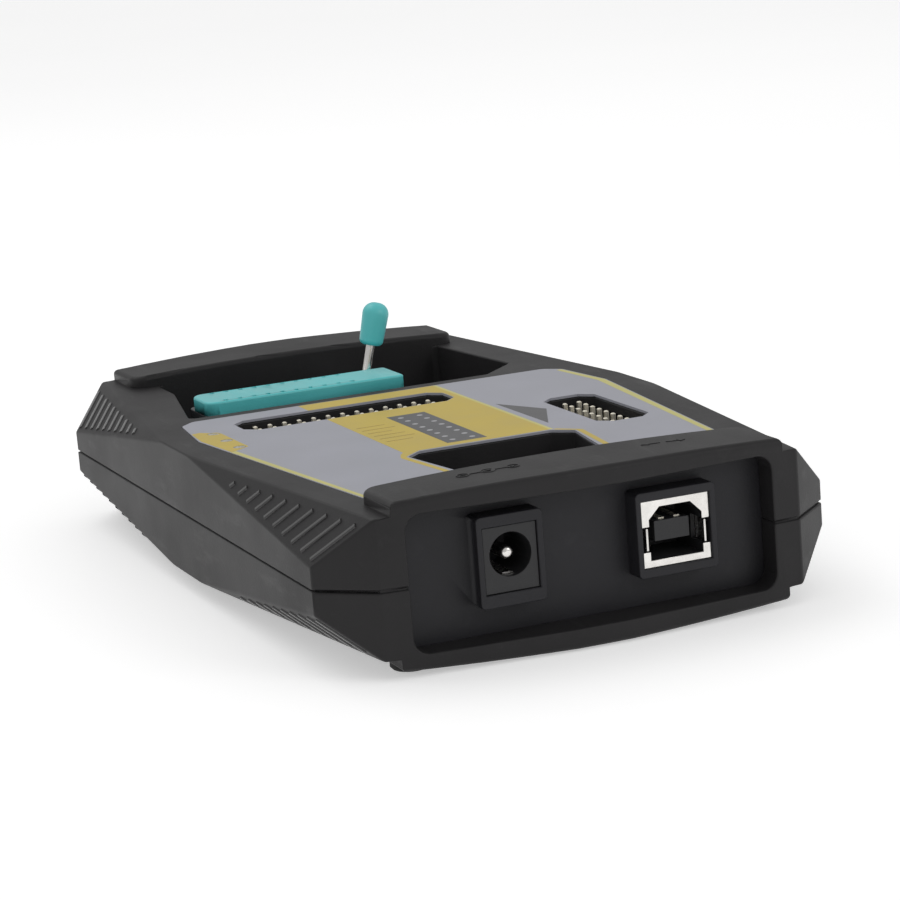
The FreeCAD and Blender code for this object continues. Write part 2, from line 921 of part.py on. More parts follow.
def socket_risers():
    length = socket_right_x - socket_left_x
    strips = []
    for side in (-1, 1):
        y = socket_centre_y + side * socket_row_spacing / 2
        middle = (socket_left_x + socket_right_x) / 2
        strip = block(middle, y, board_top_z, length, riser_width, socket_base_z - board_top_z)
        strips.append(strip.cut(contact_slots()))
    return Part.makeCompound(strips)


def round_socket_ends(solid):
    for radius, end_x in ((socket_left_radius, socket_left_x), (socket_right_radius, socket_right_x)):
        corners = [edge for edge in edges_along(solid, up) if abs(edge.CenterOfMass.x - end_x) < 0.01]
        solid = solid.makeFillet(radius, corners)
    return solid


def cam_lean():
    return lever_cam_offset / math.sqrt(2)


def slider_right_x():
    # The slider's end stays just clear of the cam when the lever stands upright.
    return lever_x - cam_lean() - lever_cam_radius - slider_cam_gap + slider_back_travel


def socket_base():
    near = socket_centre_y - socket_width / 2
    far = socket_centre_y + socket_width / 2
    solid = round_socket_ends(box(socket_left_x, socket_right_x, near, far, socket_base_z, socket_rim_z))
    channel_half = slider_width / 2 + slider_side_gap
    cam_reach = lever_cam_radius + lever_cam_offset + lever_side_gap
    cam_half = lever_cam_length / 2 + lever_side_gap
    hub_y = lever_y - lever_rod_radius - lever_side_gap
    cuts = [
        box(slider_left_x - slider_end_gap, slider_right_x() + slider_end_gap,
            socket_centre_y - channel_half, socket_centre_y + channel_half,
            slider_base_z - slider_floor_gap, socket_rim_z + 1),
        box(lever_x - cam_reach, lever_x + cam_reach, socket_centre_y - cam_half,
            socket_centre_y + cam_half, lever_z - cam_reach, socket_rim_z + 1),
        box(lever_x - lever_hub_radius - lever_hub_room, socket_right_x + 1, hub_y, far + 1,
            lever_z - lever_hub_radius - lever_side_gap, socket_rim_z + 1),
        rod(lever_shaft_radius + lever_running_gap,
            vec(lever_x, lever_shaft_near_y - lever_side_gap, lever_z), along, far - lever_shaft_near_y),
    ]
    return solid.cut(cuts + contact_slots())


def socket_cover():
    length = socket_right_x - socket_left_x
    middle = (socket_left_x + socket_right_x) / 2
    solid = block(middle, socket_centre_y, socket_rim_z, length, socket_cover_width,
                  socket_cover_top_z - socket_rim_z)
    solid = round_socket_ends(solid)
    rim = [edge for edge in solid.Edges if abs(edge.CenterOfMass.z - socket_cover_top_z) < 0.01]
    solid = solid.makeFillet(socket_cover_radius, rim)
    holes = []
    for x, y in socket_pin_places():
        holes.append(block(x, y, socket_rim_z - 1, socket_slot_width, socket_slot_length, 5))
    return solid.cut(holes)


def socket_slider():
    solid = box(slider_left_x, slider_right_x(), socket_centre_y - slider_width / 2,
                socket_centre_y + slider_width / 2, slider_base_z, slider_top_z)
    # Each slot leaves room for its contact over the whole travel.
    left = contact_width / 2 + slider_forward_travel + slider_slot_gap
    right = contact_width / 2 + slider_back_travel + slider_slot_gap
    half = contact_thickness / 2 + slider_slot_gap
    holes = []
    for x, y in socket_pin_places():
        holes.append(box(x - left, x + right, y - half, y + half, slider_base_z - 1, slider_top_z + 1))
    return solid.cut(holes)


def tilted(shape):
    # Turns what was drawn with the lever upright to where the lever rests.
    shape.rotate(vec(lever_x, lever_y, lever_z), along, lever_tilt)
    return shape


def lever():
    pivot = vec(lever_x, lever_y, lever_z)
    near = vec(lever_x, lever_shaft_near_y, lever_z)
    shaft = rod(lever_shaft_radius, near, along, lever_y + lever_rod_radius - lever_shaft_near_y)
    hub = rod(lever_hub_radius, pivot - along * lever_rod_radius, along, 2 * lever_rod_radius)
    stem = rod(lever_rod_radius, pivot, up, knob_start + knob_grip_depth)
    cam_start = vec(lever_x - cam_lean(), socket_centre_y - lever_cam_length / 2, lever_z + cam_lean())
    cam = rod(lever_cam_radius, cam_start, along, lever_cam_length)
    return tilted(shaft.fuse([hub, stem, cam]))


def knob():
    base = vec(lever_x, lever_y, lever_z + knob_start)
    solid = Part.makeCone(knob_low_radius, knob_high_radius, knob_length, base, up)
    high = [edge for edge in solid.Edges if abs(edge.CenterOfMass.z - base.z - knob_length) < 0.01]
    solid = solid.makeFillet(knob_high_round, high)
    low = [edge for edge in solid.Edges if abs(edge.CenterOfMass.z - base.z) < 0.01]
    solid = solid.makeFillet(knob_low_round, low)
    bore = rod(lever_rod_radius + thread_gap, base - up, up, knob_grip_depth + 1 + thread_gap)
    return tilted(solid.cut(bore))


def data_mouth(extra, y0, y1):
    hx = data_mouth_width / 2 + extra
    hz = data_mouth_height / 2 + extra
    corners = [
        vec(-hx, 0, -hz),
        vec(hx, 0, -hz),
        vec(hx, 0, hz - data_mouth_cut),
        vec(hx - data_mouth_cut, 0, hz),
        vec(data_mouth_cut - hx, 0, hz),
        vec(-hx, 0, hz - data_mouth_cut),
    ]
    solid = Part.Face(Part.makePolygon(corners + corners[:1])).extrude(along * (y1 - y0))
    solid.translate(vec(data_collar_x, y0, data_collar_z))
    return solid


data_front_y = collar_front_y + data_shell_setback
data_back_y = data_front_y + data_shell_length


def data_block(inset, y0, y1):
    hx = data_shell_width / 2 - inset
    hz = data_shell_height / 2 - inset
    return box(data_collar_x - hx, data_collar_x + hx, y0, y1, data_collar_z - hz, data_collar_z + hz)


def data_leaf_room(side):
    # The part of the socket's side that is cut away to make room for its spring leaf.
    inner_x = data_collar_x + side * (data_mouth_width / 2 - data_insert_gap)
    outer_x = data_collar_x + side * data_shell_width
    half = data_leaf_height / 2 + data_leaf_gap
    z = data_collar_z - data_leaf_drop
    return box(min(inner_x, outer_x), max(inner_x, outer_x), data_front_y - 1,
               data_front_y + data_leaf_length, z - half, z + half)


def data_leaf(side):
    # A leaf that leans inwards from the side of the socket towards its mouth.
    outer_x = data_collar_x + side * data_shell_width / 2
    inner_x = outer_x - side * data_shell_wall
    root_y = data_front_y + data_leaf_length
    leaf = plan_face([
        (outer_x - side * data_leaf_lean, data_front_y),
        (inner_x - side * data_leaf_lean, data_front_y),
        (inner_x, root_y),
        (inner_x, root_y + data_leaf_gap),
        (outer_x, root_y + data_leaf_gap),
        (outer_x, root_y),
    ])
    z = data_collar_z - data_leaf_drop
    return raise_face(leaf, z - data_leaf_height / 2, z + data_leaf_height / 2)


def data_shell():
    solid = data_block(0, data_front_y, data_back_y)
    inside = data_block(data_shell_wall, data_front_y + data_frame_thickness, data_back_y + 1)
    mouth = data_mouth(0, data_front_y - 1, data_front_y + 1)
    tail_half = data_strip_offset + data_strip_width / 2 + data_tail_gap
    tail_y = data_back_y + data_tail_offset - data_tail_spacing - data_tail_gap
    tail_notch = box(data_collar_x - tail_half, data_collar_x + tail_half, tail_y, data_back_y + 1,
                     board_top_z, data_collar_z)
    leaf_rooms = [data_leaf_room(side) for side in (-1, 1)]
    solid = solid.cut([inside, mouth, tail_notch] + leaf_rooms)
    solid = solid.fuse([data_leaf(side) for side in (-1, 1)])
    legs = []
    for side in (-1, 1):
        x = data_collar_x + side * (data_shell_width / 2 - data_shell_wall / 2)
        base = data_collar_z - data_shell_height / 2
        y = data_back_y - data_shell_length / 2 + data_leg_width
        legs.append(block(x, y, lead_end_z, data_shell_wall, data_leg_width, base + 1 - lead_end_z))
        legs.append(block(x, y, board_top_z, data_shell_wall, data_foot_width, base + 1 - board_top_z))
    return solid.fuse(legs)


def data_strip_places():
    # X offset, Z of the strip's lower face, and Y of its tail, for the four contact strips.
    top = data_collar_z + data_tongue_height / 2
    base = data_collar_z - data_tongue_height / 2 - data_strip_thickness
    places = []
    for side in (-1, 1):
        x = data_collar_x + side * data_strip_offset
        places.append((x, top, data_back_y + data_tail_offset))
        places.append((x, base, data_back_y + data_tail_offset - data_tail_spacing))
    return places


def data_strip(x, z, tail_y, gap):
    half = data_strip_width / 2 + gap
    start = data_front_y + data_tongue_setback + data_strip_setback
    flat = box(x - half, x + half, start, tail_y + data_strip_thickness, z - gap,
               z + data_strip_thickness + gap)
    tail = box(x - half, x + half, tail_y, tail_y + data_strip_thickness, lead_end_z, z)
    return flat.fuse(tail)


def data_strips():
    return Part.makeCompound([data_strip(x, z, y, 0) for x, z, y in data_strip_places()])


def data_insert():
    front = data_front_y + data_frame_thickness
    back = data_front_y + data_mouth_depth
    solid = data_block(data_shell_wall + thread_gap, front, data_back_y - data_insert_setback)
    leaf_rooms = [data_leaf_room(side) for side in (-1, 1)]
    solid = solid.cut([data_mouth(data_insert_gap, front - 1, back)] + leaf_rooms)
    tongue = box(data_collar_x - data_tongue_width / 2, data_collar_x + data_tongue_width / 2,
                 data_front_y + data_tongue_setback, back + 1,
                 data_collar_z - data_tongue_height / 2, data_collar_z + data_tongue_height / 2)
    solid = solid.fuse(tongue)
    slots = [data_strip(x, z, y, pin_gap) for x, z, y in data_strip_places()]
    return solid.cut(slots)


power_front_y = collar_front_y + power_setback
power_back_y = power_front_y + power_length


def power_spring_box(gap):
    half = power_spring_width / 2 + gap
    z = power_bore_z - power_bore_radius
    start = power_front_y + power_spring_setback
    turn_y = power_front_y + power_bore_depth + power_spring_turn
    flat = box(power_collar_x - half, power_collar_x + half, start, turn_y + power_spring_thickness + gap,
               z - gap, z + power_spring_thickness + gap)
    tail = box(power_collar_x - half, power_collar_x + half, turn_y - gap,
               turn_y + power_spring_thickness + gap, lead_end_z, z + power_spring_thickness)
    return flat.fuse(tail)


def power_body():
    half = power_face_width / 2
    nose = box(power_collar_x - half, power_collar_x + half, power_front_y, -panel_back_y + 1,
               power_face_base_z, power_face_top_z)
    rear = box(power_collar_x - half, power_collar_x + half, -panel_back_y + power_body_step, power_back_y,
               board_top_z, power_face_top_z)
    solid = nose.fuse(rear)
    start = vec(power_collar_x, power_front_y, power_bore_z)
    pin_hole = rod(power_pin_radius + power_leg_gap, start, along, power_length + 1)
    bore = rod(power_bore_radius, start, along, power_bore_depth)
    slot_z = power_bore_z - power_bore_radius
    slot = box(power_collar_x - power_spring_width / 2 - power_leg_gap,
               power_collar_x + power_spring_width / 2 + power_leg_gap,
               power_front_y + power_spring_setback - power_body_step, power_front_y + power_bore_depth,
               slot_z - power_leg_gap, slot_z + 1)
    return solid.cut([bore, pin_hole, slot, power_spring_box(power_leg_gap)])


def power_pin():
    tip_y = power_front_y + power_bore_depth - power_pin_length
    length = power_back_y + power_tail_cap - tip_y
    pin = rod(power_pin_radius, vec(power_collar_x, tip_y, power_bore_z), along, length)
    tip = [edge for edge in pin.Edges if abs(edge.CenterOfMass.y - tip_y) < 0.01]
    pin = pin.makeFillet(power_pin_radius * power_tip_share, tip)
    tail = box(power_collar_x - power_tail_half_width, power_collar_x + power_tail_half_width,
               power_back_y + power_tail_near, power_back_y + power_tail_far, lead_end_z, power_bore_z)
    return pin.fuse(tail)


def lead_row(x, y, count, step, width, reach, direction):
    # A row of flat leads beside a chip. The direction is the way that they point.
    leads = []
    for index in range(count):
        offset = (index - (count - 1) / 2) * step
        if direction.x:
            cx = x + direction.x * reach / 2
            leads.append(block(cx, y + offset, board_top_z, reach, width, lead_thickness))
        else:
            cy = y + direction.y * reach / 2
            leads.append(block(x + offset, cy, board_top_z, width, reach, lead_thickness))
    return leads


def processor():
    lift = lead_thickness / 2
    body = block(chip_x, chip_y, board_top_z + lift, chip_side, chip_side, chip_height)
    return body.makeChamfer(chip_corner_cut, edges_along(body, up))


def processor_leads():
    leads = []
    half = chip_side / 2
    for dx, dy in ((1, 0), (-1, 0), (0, 1), (0, -1)):
        leads += lead_row(chip_x + dx * half, chip_y + dy * half, chip_lead_count, chip_lead_pitch,
                          chip_lead_width, chip_lead_reach, vec(dx, dy, 0))
    return Part.makeCompound(leads)


def logic_chips():
    bodies = []
    for x, y in logic_places:
        body = block(x, y, board_top_z + lead_thickness / 2, logic_width, logic_length, logic_height)
        bodies.append(body.makeChamfer(logic_corner_cut, edges_along(body, up)))
    return Part.makeCompound(bodies)


def logic_leads():
    leads = []
    for x, y in logic_places:
        for side in (-1, 1):
            leads += lead_row(x + side * logic_width / 2, y, logic_lead_count, logic_lead_pitch,
                              logic_lead_width, logic_lead_reach, vec(side, 0, 0))
    return Part.makeCompound(leads)


def can_capacitors():
    cans = []
    for x, y in can_capacitor_places:
        can = rod(can_capacitor_radius, vec(x, y, board_top_z + can_base_height), up,
                  can_capacitor_height - can_base_height)
        rim = [edge for edge in can.Edges if edge.CenterOfMass.z > board_top_z + can_capacitor_height - 0.1]
        cans.append(can.makeFillet(can_rim_radius, rim))
    return Part.makeCompound(cans)


def can_bases():
    side = 2 * can_capacitor_radius + can_base_margin
    bases = []
    for x, y in can_capacitor_places:
        base = block(x, y, board_top_z, side, side, can_base_height)
        corners = [edge for edge in edges_along(base, up) if edge.CenterOfMass.y > y]
        bases.append(base.makeChamfer(can_base_cut, corners))
    return Part.makeCompound(bases)


def crystal():
    straight = crystal_length - crystal_width
    flange = block(crystal_x, crystal_y, board_top_z, crystal_length, crystal_width, crystal_flange)
    can = block(crystal_x, crystal_y, board_top_z, straight, crystal_width - crystal_rim, crystal_height)
    ends = []
    for side in (-1, 1):
        start = vec(crystal_x + side * straight / 2, crystal_y, board_top_z)
        ends.append(rod((crystal_width - crystal_rim) / 2, start, up, crystal_height))
    flange = flange.makeFillet(crystal_width / 2.2, edges_along(flange, up))
    return flange.fuse([can] + ends).removeSplitter()


def coil():
    solid = block(coil_x, coil_y, board_top_z, coil_side, coil_side, coil_height)
    solid = solid.makeChamfer(coil_corner_cut, edges_along(solid, up))
    top_z = board_top_z + coil_height
    ring_base = vec(coil_x, coil_y, top_z - coil_ring_depth)
    ring = rod(coil_side / 2 - coil_rim, ring_base, up, 1)
    core = rod(coil_core_radius, ring_base, up, 1)
    return solid.cut(ring.cut(core))


def regulator():
    body = block(regulator_x, regulator_y, board_top_z, regulator_width, regulator_length, regulator_height)
    tab_y = regulator_y + regulator_length / 2 + regulator_tab_reach / 2
    tab = block(regulator_x, tab_y, board_top_z, regulator_width * regulator_tab_share,
                regulator_tab_reach, regulator_tab_thickness)
    legs = lead_row(regulator_x, regulator_y - regulator_length / 2, 3, regulator_leg_pitch,
                    regulator_leg_width, regulator_leg_reach, vec(0, -1, 0))
    return body.fuse([tab] + legs)


def chip_parts():
    bodies = []
    for x, y in chip_part_places:
        bodies.append(block(x, y, board_top_z, chip_part_length - 2 * chip_part_cap, chip_part_width,
                            chip_part_height))
    return Part.makeCompound(bodies)


def chip_part_caps():
    caps = []
    for x, y in chip_part_places:
        for side in (-1, 1):
            cx = x + side * (chip_part_length - chip_part_cap) / 2
            caps.append(block(cx, y, board_top_z, chip_part_cap, chip_part_width, chip_part_height))
    return Part.makeCompound(caps)


def status_lights():
    return Part.makeCompound([
        block(light_x, y, board_top_z, light_length, light_width, light_height) for y in light_places_y
    ])


def light_rods():
    base_z = board_top_z + light_height + rod_gap_above_light
    rods = []
    for y in light_places_y:
        stem = rod(rod_radius, vec(light_x, y, base_z), up, plate_top_z - base_z)
        flange = rod(rod_flange_radius, vec(light_x, y, roof_z - rod_flange_height), up, rod_flange_height)
        rods.append(stem.fuse(flange).removeSplitter())
    return Part.makeCompound(rods)


def board():
    solid = box(-board_half_width, board_half_width, -board_half_length, board_half_length,
                board_base_z, board_top_z)
    cuts = []
    depth = 3 * board_thickness
    base = board_base_z - board_thickness
    for x, y in column_places():
        cuts.append(rod(column_radius + case_well_gap, vec(x, y, base), up, depth))
    for x, y in board_screw_places():
        cuts.append(rod(board_shaft_radius + case_hole_gap, vec(x, y, base), up, depth))
    pin_radius = pin_side / math.sqrt(2) + lead_hole_gap
    for x, y in wide_pin_places() + short_pin_places():
        cuts.append(rod(pin_radius, vec(x, y, base), up, depth))
    for x, y in socket_pin_places():
        cuts.append(rod(contact_width / 2 + 2 * lead_hole_gap, vec(x, y, base), up, depth))
    for x, z, row in port_hole_places():
        radius = port_lead_side / math.sqrt(2) + lead_hole_gap
        cuts.append(rod(radius, vec(x, port_lead_y(row), base), up, depth))
    for x, z, tail_y in data_strip_places():
        y = tail_y + data_strip_thickness / 2
        cuts.append(rod(data_strip_width / 2 + lead_hole_gap, vec(x, y, base), up, depth))
    leg_y = data_back_y - data_shell_length / 2 + data_leg_width
    for side in (-1, 1):
        x = data_collar_x + side * (data_shell_width / 2 - data_shell_wall / 2)
        cuts.append(block(x, leg_y, base, data_shell_wall + 2 * leg_slot_gap,
                          data_leg_width + 2 * leg_slot_gap, depth))
    spring_y = power_front_y + power_bore_depth + power_spring_turn + power_spring_thickness / 2
    tail_y = power_back_y + (power_tail_near + power_tail_far) / 2
    tail_width = 2 * (power_tail_half_width + leg_slot_gap)
    cuts.append(block(power_collar_x, spring_y, base, power_spring_width + 2 * leg_slot_gap,
                      tail_slot_length, depth))
    cuts.append(block(power_collar_x, tail_y, base, tail_width, tail_slot_length, depth))
    return solid.cut(cuts)


def save(name, shape):
    shape.exportStep("parts/" + name + ".step")
    print(name, len(shape.Solids), "solids", "valid" if shape.isValid() else "NOT VALID",
          round(shape.Volume, 1))


hollow = hollow_case()
save("upper_shell", upper_shell(hollow))
save("lower_shell", lower_shell(hollow))
save("near_panel", near_panel())
save("far_panel", far_panel())
save("top_plate", plate())
save("rubber_feet", feet())
save("case_screws", case_screws())
save("main_board", board())
save("board_screws", board_screws())
save("wide_header_bases", header_bases(wide_header_x, wide_header_y, wide_header_size(), wide_pin_places()))
save("wide_header_pins", header_pins(wide_pin_places()))
save("short_header_bases", header_bases(short_header_x, short_header_y, short_header_size(),
                                        short_pin_places()))
save("short_header_pins", header_pins(short_pin_places()))
save("lever_socket_risers", socket_risers())
save("lever_socket_base", socket_base())
save("lever_socket_contacts", socket_contacts())
save("lever_socket_slider", socket_slider())
save("lever_socket_cover", socket_cover())
save("lever_rod", lever())
save("lever_knob", knob())
save("data_socket_shell", data_shell())
save("data_socket_insert", data_insert())
save("data_socket_strips", data_strips())
save("power_socket_body", power_body())
save("power_socket_pin", power_pin())
save("power_socket_spring", power_spring_box(0))
save("cable_port_shell", port_shell())
save("cable_port_insert", port_insert())
save("cable_port_sleeves", port_sleeves())
save("cable_port_posts", port_posts())
save("processor", processor())
save("processor_leads", processor_leads())
save("logic_chips", logic_chips())
save("logic_leads", logic_leads())
save("can_capacitors", can_capacitors())
save("can_capacitor_bases", can_bases())
save("crystal", crystal())
save("power_coil", coil())
save("regulator", regulator())
save("chip_capacitors", chip_parts())
save("chip_capacitor_caps", chip_part_caps())
save("status_lights", status_lights())
save("light_rods", light_rods())
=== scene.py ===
import bpy
import bmesh
import json
import math
from mathutils import Matrix, Vector


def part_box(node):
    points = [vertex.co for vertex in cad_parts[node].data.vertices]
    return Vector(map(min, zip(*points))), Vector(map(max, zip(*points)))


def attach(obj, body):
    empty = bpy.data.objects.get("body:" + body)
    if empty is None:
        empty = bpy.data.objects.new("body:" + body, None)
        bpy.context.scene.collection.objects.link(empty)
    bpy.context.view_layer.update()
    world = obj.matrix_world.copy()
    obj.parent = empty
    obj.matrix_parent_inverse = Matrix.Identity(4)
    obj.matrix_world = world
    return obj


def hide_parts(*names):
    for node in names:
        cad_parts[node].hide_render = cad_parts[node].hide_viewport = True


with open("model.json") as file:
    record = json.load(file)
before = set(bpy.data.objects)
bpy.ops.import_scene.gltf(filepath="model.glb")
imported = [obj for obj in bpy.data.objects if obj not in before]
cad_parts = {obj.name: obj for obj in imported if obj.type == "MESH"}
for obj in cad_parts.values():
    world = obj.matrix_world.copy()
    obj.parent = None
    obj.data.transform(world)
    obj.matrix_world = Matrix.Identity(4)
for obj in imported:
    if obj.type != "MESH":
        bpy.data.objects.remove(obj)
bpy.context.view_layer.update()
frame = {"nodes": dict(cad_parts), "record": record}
nodes = frame["nodes"]
scene = bpy.context.scene
mm = 0.001
print("frame loaded:", len(nodes), "nodes")


# Node trees, written as expressions

class Wire:
    # A node's output. Sums and products of wires and numbers add their Math nodes.
    def __init__(self, graph, socket):
        self.graph = graph
        self.socket = socket

    def maths(self, operation, first, second, clamp=False):
        return self.graph.node("ShaderNodeMath", {0: first, 1: second}, operation=operation, use_clamp=clamp)

    def __add__(self, other):
        return self.maths("ADD", self, other)

    def __radd__(self, other):
        return self.maths("ADD", other, self)

    def __sub__(self, other):
        return self.maths("SUBTRACT", self, other)

    def __rsub__(self, other):
        return self.maths("SUBTRACT", other, self)

    def __mul__(self, other):
        return self.maths("MULTIPLY", self, other)

    def __rmul__(self, other):
        return self.maths("MULTIPLY", other, self)

    def __truediv__(self, other):
        return self.maths("DIVIDE", self, other)

    def __rtruediv__(self, other):
        return self.maths("DIVIDE", other, self)

    def clamped(self):
        return self.maths("ADD", self, 0.0, clamp=True)

    def spread(self, low, high, start=0.0, end=1.0):
        return self.graph.node("ShaderNodeMapRange", {"Value": self, "From Min": start, "From Max": end,
                                                      "To Min": low, "To Max": high}, "Result")

    def mask(self, start, end):
        return self.spread(0.0, 1.0, start, end).clamped()


class Graph:
    def __init__(self, tree):
        self.tree = tree

    def plug(self, value, socket):
        if isinstance(value, Wire):
            self.tree.links.new(value.socket, socket)
        else:
            socket.default_value = value

    def node(self, kind, sockets=None, output=0, **settings):
        made = self.tree.nodes.new(kind)
        for name, value in settings.items():
            setattr(made, name, value)
        for key, value in (sockets or {}).items():
            self.plug(value, made.inputs[key])
        return Wire(self, made.outputs[output]) if made.outputs else None


class Paint(Graph):
    def __init__(self, name):
        self.material = bpy.data.materials.new(name)
        self.material.use_nodes = True
        super().__init__(self.material.node_tree)
        self.shader = self.tree.nodes["Principled BSDF"]
        self.coords = self.node("ShaderNodeTexCoord", output="Object")

    def noise(self, size, detail=3.0, rough=0.55, stretch=None):
        place = self.coords
        if stretch:
            place = self.node("ShaderNodeMapping", {"Vector": place, "Scale": stretch})
        return self.node("ShaderNodeTexNoise", {"Vector": place, "Scale": 1 / size, "Detail": detail,
                                                "Roughness": rough}, "Fac")

    def cells(self, size, feature="F1"):
        return self.node("ShaderNodeTexVoronoi", {"Vector": self.coords, "Scale": 1 / size}, "Distance",
                         feature=feature)

    def blend(self, factor, low, high):
        low, high = (c if isinstance(c, Wire) else (*c, 1.0) for c in (low, high))
        return self.node("ShaderNodeMix", {"Factor": factor, 6: low, 7: high}, 2, data_type="RGBA")

    def bump(self, height, depth, under=None):
        sockets = {"Height": height, "Distance": depth}
        if under:
            sockets["Normal"] = under
        return self.node("ShaderNodeBump", sockets, "Normal")

    def shade(self, **values):
        for name, value in values.items():
            self.plug(value, self.shader.inputs[name.replace("_", " ")])


# Finishes. Each noise is a size in metres, a detail, a roughness and, for some, a stretch.

plasticLook = {"tone": (0.018, 4.0, 0.6), "toneRange": (0.3, 0.7), "glossRange": (0.25, 0.75),
               "fine": (2.0, 0.6), "fineDepth": 0.8, "pitRatio": 1.7,
               "rub": (0.004, 5.0, 0.7, (1.0, 0.25, 1.0)), "rubRange": (0.56, 0.72), "rubGloss": 0.06,
               "wornGain": 1.5, "wornLift": 0.02}


def moulded(name, dark, light, rough=(0.42, 0.56), grain=0.00022, depth=0.000012, wear=0.0, coat=0.0,
            shine=0.5):
    # Moulded plastic: a spark-eroded grain, slow changes of tone, and fine rubbed marks.
    look = plasticLook
    paint = Paint(name)
    tone = paint.noise(*look["tone"])
    fine = paint.noise(grain, *look["fine"])
    pits = paint.cells(grain * look["pitRatio"])
    rubbed = paint.noise(*look["rub"]).mask(*look["rubRange"])
    colour = paint.blend(tone.mask(*look["toneRange"]), dark, light)
    worn = tuple(min(1.0, c * look["wornGain"] + look["wornLift"]) for c in light)
    colour = paint.blend(rubbed * wear, colour, worn)
    roughness = tone.spread(*rough, *look["glossRange"]) - rubbed * look["rubGloss"]
    low = paint.bump(pits, depth)
    normal = paint.bump(fine, depth * look["fineDepth"], low)
    paint.shade(Base_Color=colour, Roughness=roughness, Normal=normal, Coat_Weight=coat,
                Specular_IOR_Level=shine)
    return paint.material


metalLook = {"cloud": (0.0022, 4.0, 0.65), "cloudRange": (0.35, 0.7), "glossRange": (0.3, 0.7),
             "line": (0.00025, 2.0, 0.5), "lineGloss": 0.06, "lineDepth": 0.000006, "drawn": (1.0, 1.0, 0.12)}


def metal(name, dark, light, rough=(0.16, 0.3), brushed=metalLook["drawn"], tarnish=0.25):
    # Plated metal: drawn or brushed lines, clouded patches, and a slightly uneven gloss.
    look = metalLook
    paint = Paint(name)
    cloud = paint.noise(*look["cloud"])
    lines = paint.noise(*look["line"], brushed)
    colour = paint.blend(cloud.mask(*look["cloudRange"]) * tarnish, light, dark)
    roughness = cloud.spread(*rough, *look["glossRange"]) + lines * look["lineGloss"]
    paint.shade(Base_Color=colour, Roughness=roughness, Normal=paint.bump(lines, look["lineDepth"]),
                Metallic=1.0)
    return paint.material


inkLook = {"film": (0.012, 3.0, 0.6), "filmRange": (0.3, 0.7), "rough": (0.38, 0.5), "dotSize": 0.00035,
           "dotDepth": 0.000004, "speck": (0.0009, 2.0, 0.5), "speckRange": (0.62, 0.75), "speckShare": 0.12,
           "speckShade": 0.75}


def printed(name, dark, light):
    # Screen-printed ink: a faint halftone, a slight unevenness of the film, and dust.
    look = inkLook
    paint = Paint(name)
    film = paint.noise(*look["film"])
    speck = paint.noise(*look["speck"]).mask(*look["speckRange"])
    colour = paint.blend(film.mask(*look["filmRange"]), dark, light)
    colour = paint.blend(speck * look["speckShare"], colour, tuple(c * look["speckShade"] for c in dark))
    paint.shade(Base_Color=colour, Roughness=film.spread(*look["rough"], *look["filmRange"]),
                Normal=paint.bump(paint.cells(look["dotSize"]), look["dotDepth"]))
    return paint.material


boardLook = {"trackSize": 0.0042, "trackRange": (0.05, 0.09), "trackDepth": 0.00003,
             "mask": (0.006, 0.09, 0.035), "track": (0.02, 0.2, 0.07),
             "weave": (0.0006, 1.0, 0.4, (1.0, 3.0, 1.0)), "weaveDepth": 0.000008, "rough": (0.25, 0.42),
             "coat": 0.3}


def laminate(name):
    # Solder mask over copper tracks, with the weave of the glass cloth under it.
    look = boardLook
    paint = Paint(name)
    tracks = 1 - paint.cells(look["trackSize"], "DISTANCE_TO_EDGE").mask(*look["trackRange"])
    weave = paint.noise(*look["weave"])
    low = paint.bump(tracks, look["trackDepth"])
    colour = paint.blend(tracks, look["mask"], look["track"])
    paint.shade(Base_Color=colour, Roughness=weave.spread(*look["rough"]),
                Normal=paint.bump(weave, look["weaveDepth"], low), Coat_Weight=look["coat"])
    return paint.material


rodLook = {"haze": (0.0007, 3.0, 0.6), "hazeDepth": 0.000008, "dark": (0.62, 0.6, 0.5),
           "light": (0.85, 0.83, 0.76), "rough": (0.12, 0.3), "clear": 0.35, "index": 1.49}


def clearRod(name):
    # Clear plastic, frosted by fine moulding lines.
    look = rodLook
    paint = Paint(name)
    haze = paint.noise(*look["haze"])
    colour = paint.blend(haze, look["dark"], look["light"])
    paint.shade(Base_Color=colour, Roughness=haze.spread(*look["rough"]),
                Normal=paint.bump(haze, look["hazeDepth"]), Transmission_Weight=look["clear"],
                IOR=look["index"])
    return paint.material


